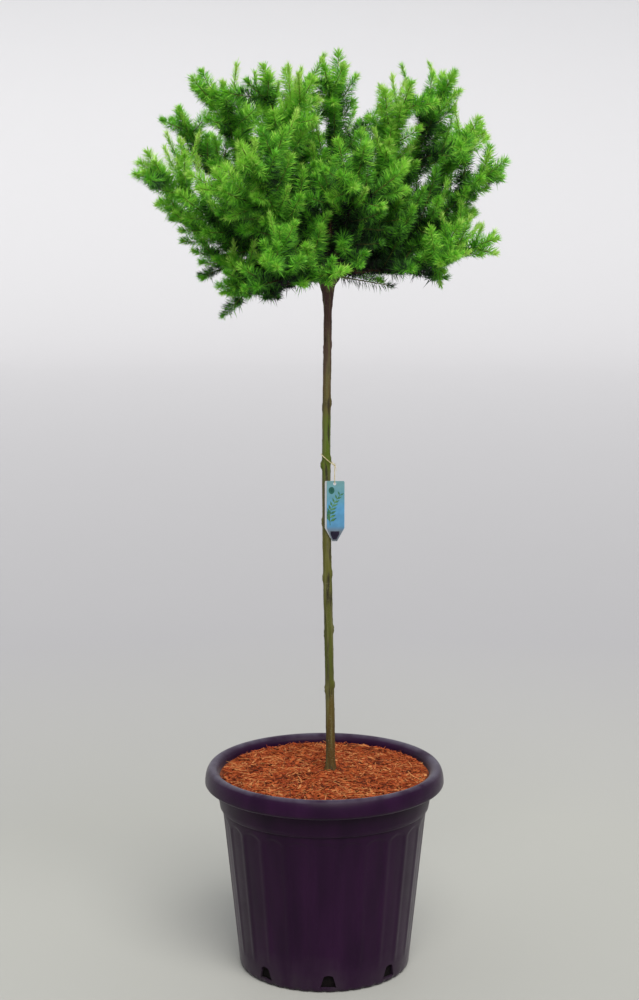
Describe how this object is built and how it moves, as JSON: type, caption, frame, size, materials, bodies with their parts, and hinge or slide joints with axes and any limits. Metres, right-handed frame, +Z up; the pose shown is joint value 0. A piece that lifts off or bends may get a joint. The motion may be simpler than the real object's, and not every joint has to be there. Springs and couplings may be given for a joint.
{
  "type": "grafted standard tamarack in a nursery pot",
  "caption": "Small top-grafted larch tree: a shaggy head of soft green needles on a bare thin stem, in a round black nursery pot topped with shredded bark.",
  "frame": {"origin": "centre of the pot's flat underside, on the floor", "axes": "+Z up along the stem; the front of the tree faces -Y, with +X to the right as seen from the front"},
  "size_m": [0.6669, 0.6085, 1.6661],
  "materials": {
    "pot_plastic": "satin moulded black plastic with a purple cast",
    "bark_mulch": "shredded orange-brown bark",
    "stem_bark": "thin olive-green and brown bark with knots",
    "bough_bark": "rough brown twigs",
    "needles": "soft matte green needles",
    "label_card": "satin printed plastic card",
    "tie_raffia": "dry raffia"
  },
  "bodies": {
    "root": {"pot": "pot_plastic", "bark_mulch": "bark_mulch", "trunk": "stem_bark", "bough_low_right": "bough_bark", "foliage_low_right": "needles", "bough_low_back_right": "bough_bark", "foliage_low_back_right": "needles", "bough_low_back_left": "bough_bark", "foliage_low_back_left": "needles", "bough_low_left": "bough_bark", "foliage_low_left": "needles", "bough_low_front_left": "bough_bark", "foliage_low_front_left": "needles", "bough_low_front": "bough_bark", "foliage_low_front": "needles", "bough_low_front_right": "bough_bark", "foliage_low_front_right": "needles", "bough_mid_right": "bough_bark", "foliage_mid_right": "needles", "bough_mid_back_right": "bough_bark", "foliage_mid_back_right": "needles", "bough_mid_back": "bough_bark", "foliage_mid_back": "needles", "bough_mid_back_left": "bough_bark", "foliage_mid_back_left": "needles", "bough_mid_left": "bough_bark", "foliage_mid_left": "needles", "bough_mid_front_left": "bough_bark", "foliage_mid_front_left": "needles", "bough_mid_front": "bough_bark", "foliage_mid_front": "needles", "bough_high_right": "bough_bark", "foliage_high_right": "needles", "bough_high_back": "bough_bark", "foliage_high_back": "needles", "bough_high_left": "bough_bark", "foliage_high_left": "needles", "bough_high_front_left": "bough_bark", "foliage_high_front_left": "needles", "bough_high_front_right": "bough_bark", "foliage_high_front_right": "needles", "bough_top": "bough_bark", "foliage_top": "needles", "label": "label_card", "label_tie": "tie_raffia"}
  },
  "joints": []
}
